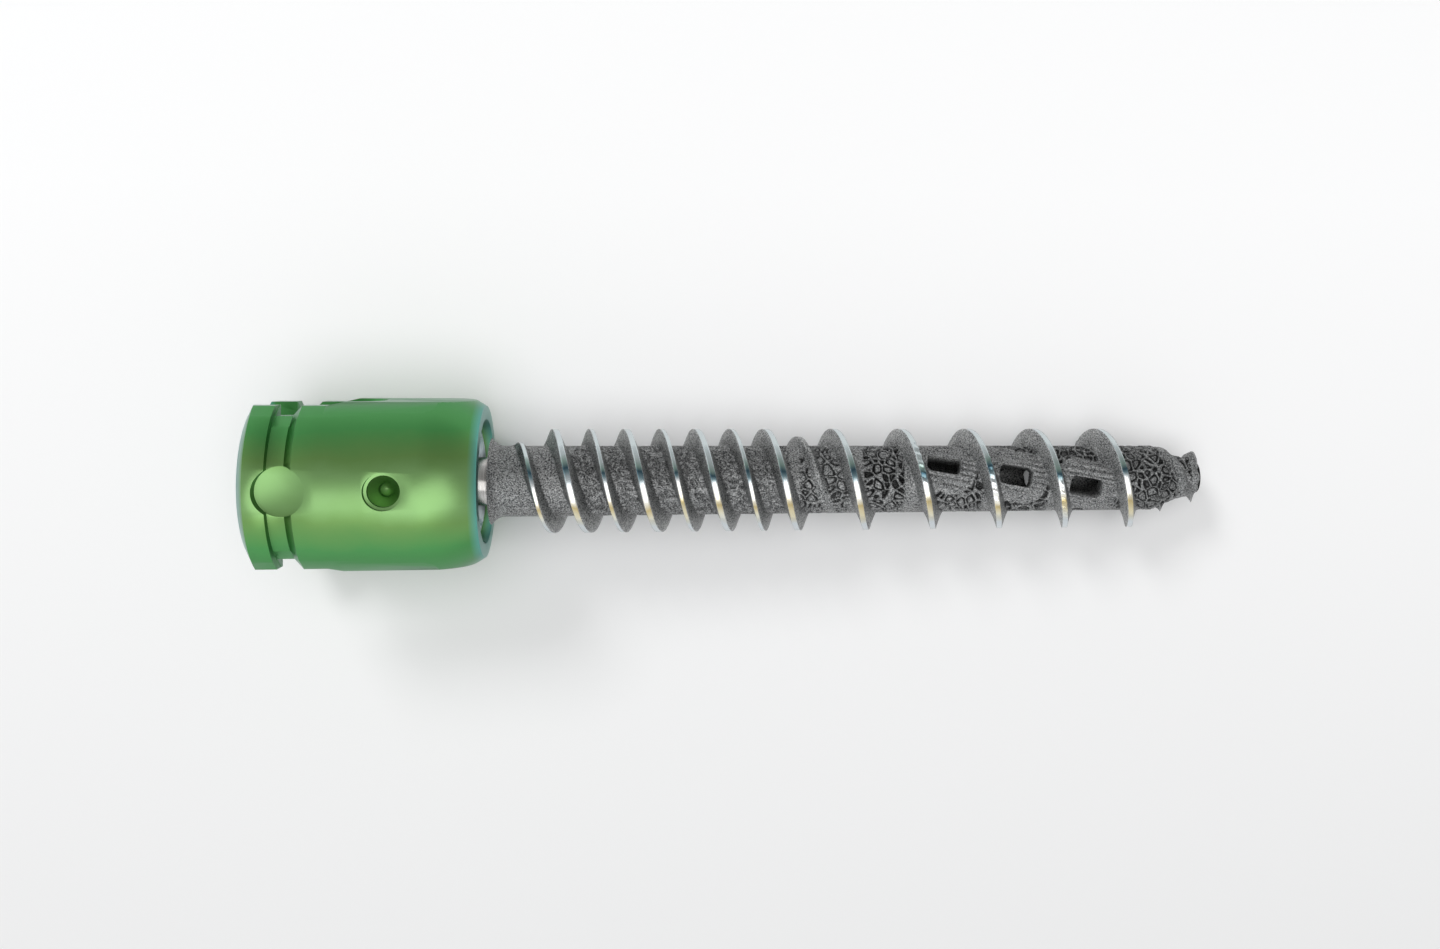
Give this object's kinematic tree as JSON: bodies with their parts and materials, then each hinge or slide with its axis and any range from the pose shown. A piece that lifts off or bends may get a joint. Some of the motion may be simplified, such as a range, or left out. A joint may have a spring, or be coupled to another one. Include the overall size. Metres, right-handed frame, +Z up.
{
  "type": "sacroiliac fusion implant",
  "caption": "Threaded porous fusion shaft with windows and a solid core, joined by a ball joint to a two-armed tulip head that takes a spinal rod.",
  "frame": {"origin": "centre of the bounding box's bottom, on the surface that the implant lies on", "axes": "+X along the shaft towards the tip, which leans down a little; +Z up, through the pocketed arm; +Y completes the right hand"},
  "size_m": [0.096, 0.0162, 0.0194],
  "materials": {
    "tulip_head": "satin green anodised titanium",
    "fusion_sleeve": "grainy printed titanium with machined bright crests",
    "fixation_post": "machined titanium alloy",
    "retaining_collet": "bright pale titanium",
    "pressure_saddle": "satin grey titanium"
  },
  "bodies": {
    "shank": {"fusion_sleeve": "fusion_sleeve", "fixation_post": "fixation_post"},
    "collet": {"retaining_collet": "retaining_collet"},
    "head": {"tulip_head": "tulip_head"},
    "saddle": {"pressure_saddle": "pressure_saddle"}
  },
  "joints": [
    {"name": "head_tilt", "type": "hinge", "parent": "shank", "child": "collet", "pos_m": [-0.03229, 0, 0.00929], "axis": [0.0613, 0, 0.9981], "range_deg": [-12, 12]},
    {"name": "head_spin", "type": "hinge", "parent": "collet", "child": "head", "pos_m": [-0.03229, 0, 0.00929], "axis": [0.9981, 0, -0.0613], "continuous": true},
    {"name": "saddle_slide", "type": "slide", "parent": "head", "child": "saddle", "axis": [0.9981, 0, -0.0613], "range_m": [0, 0.0002]}
  ]
}
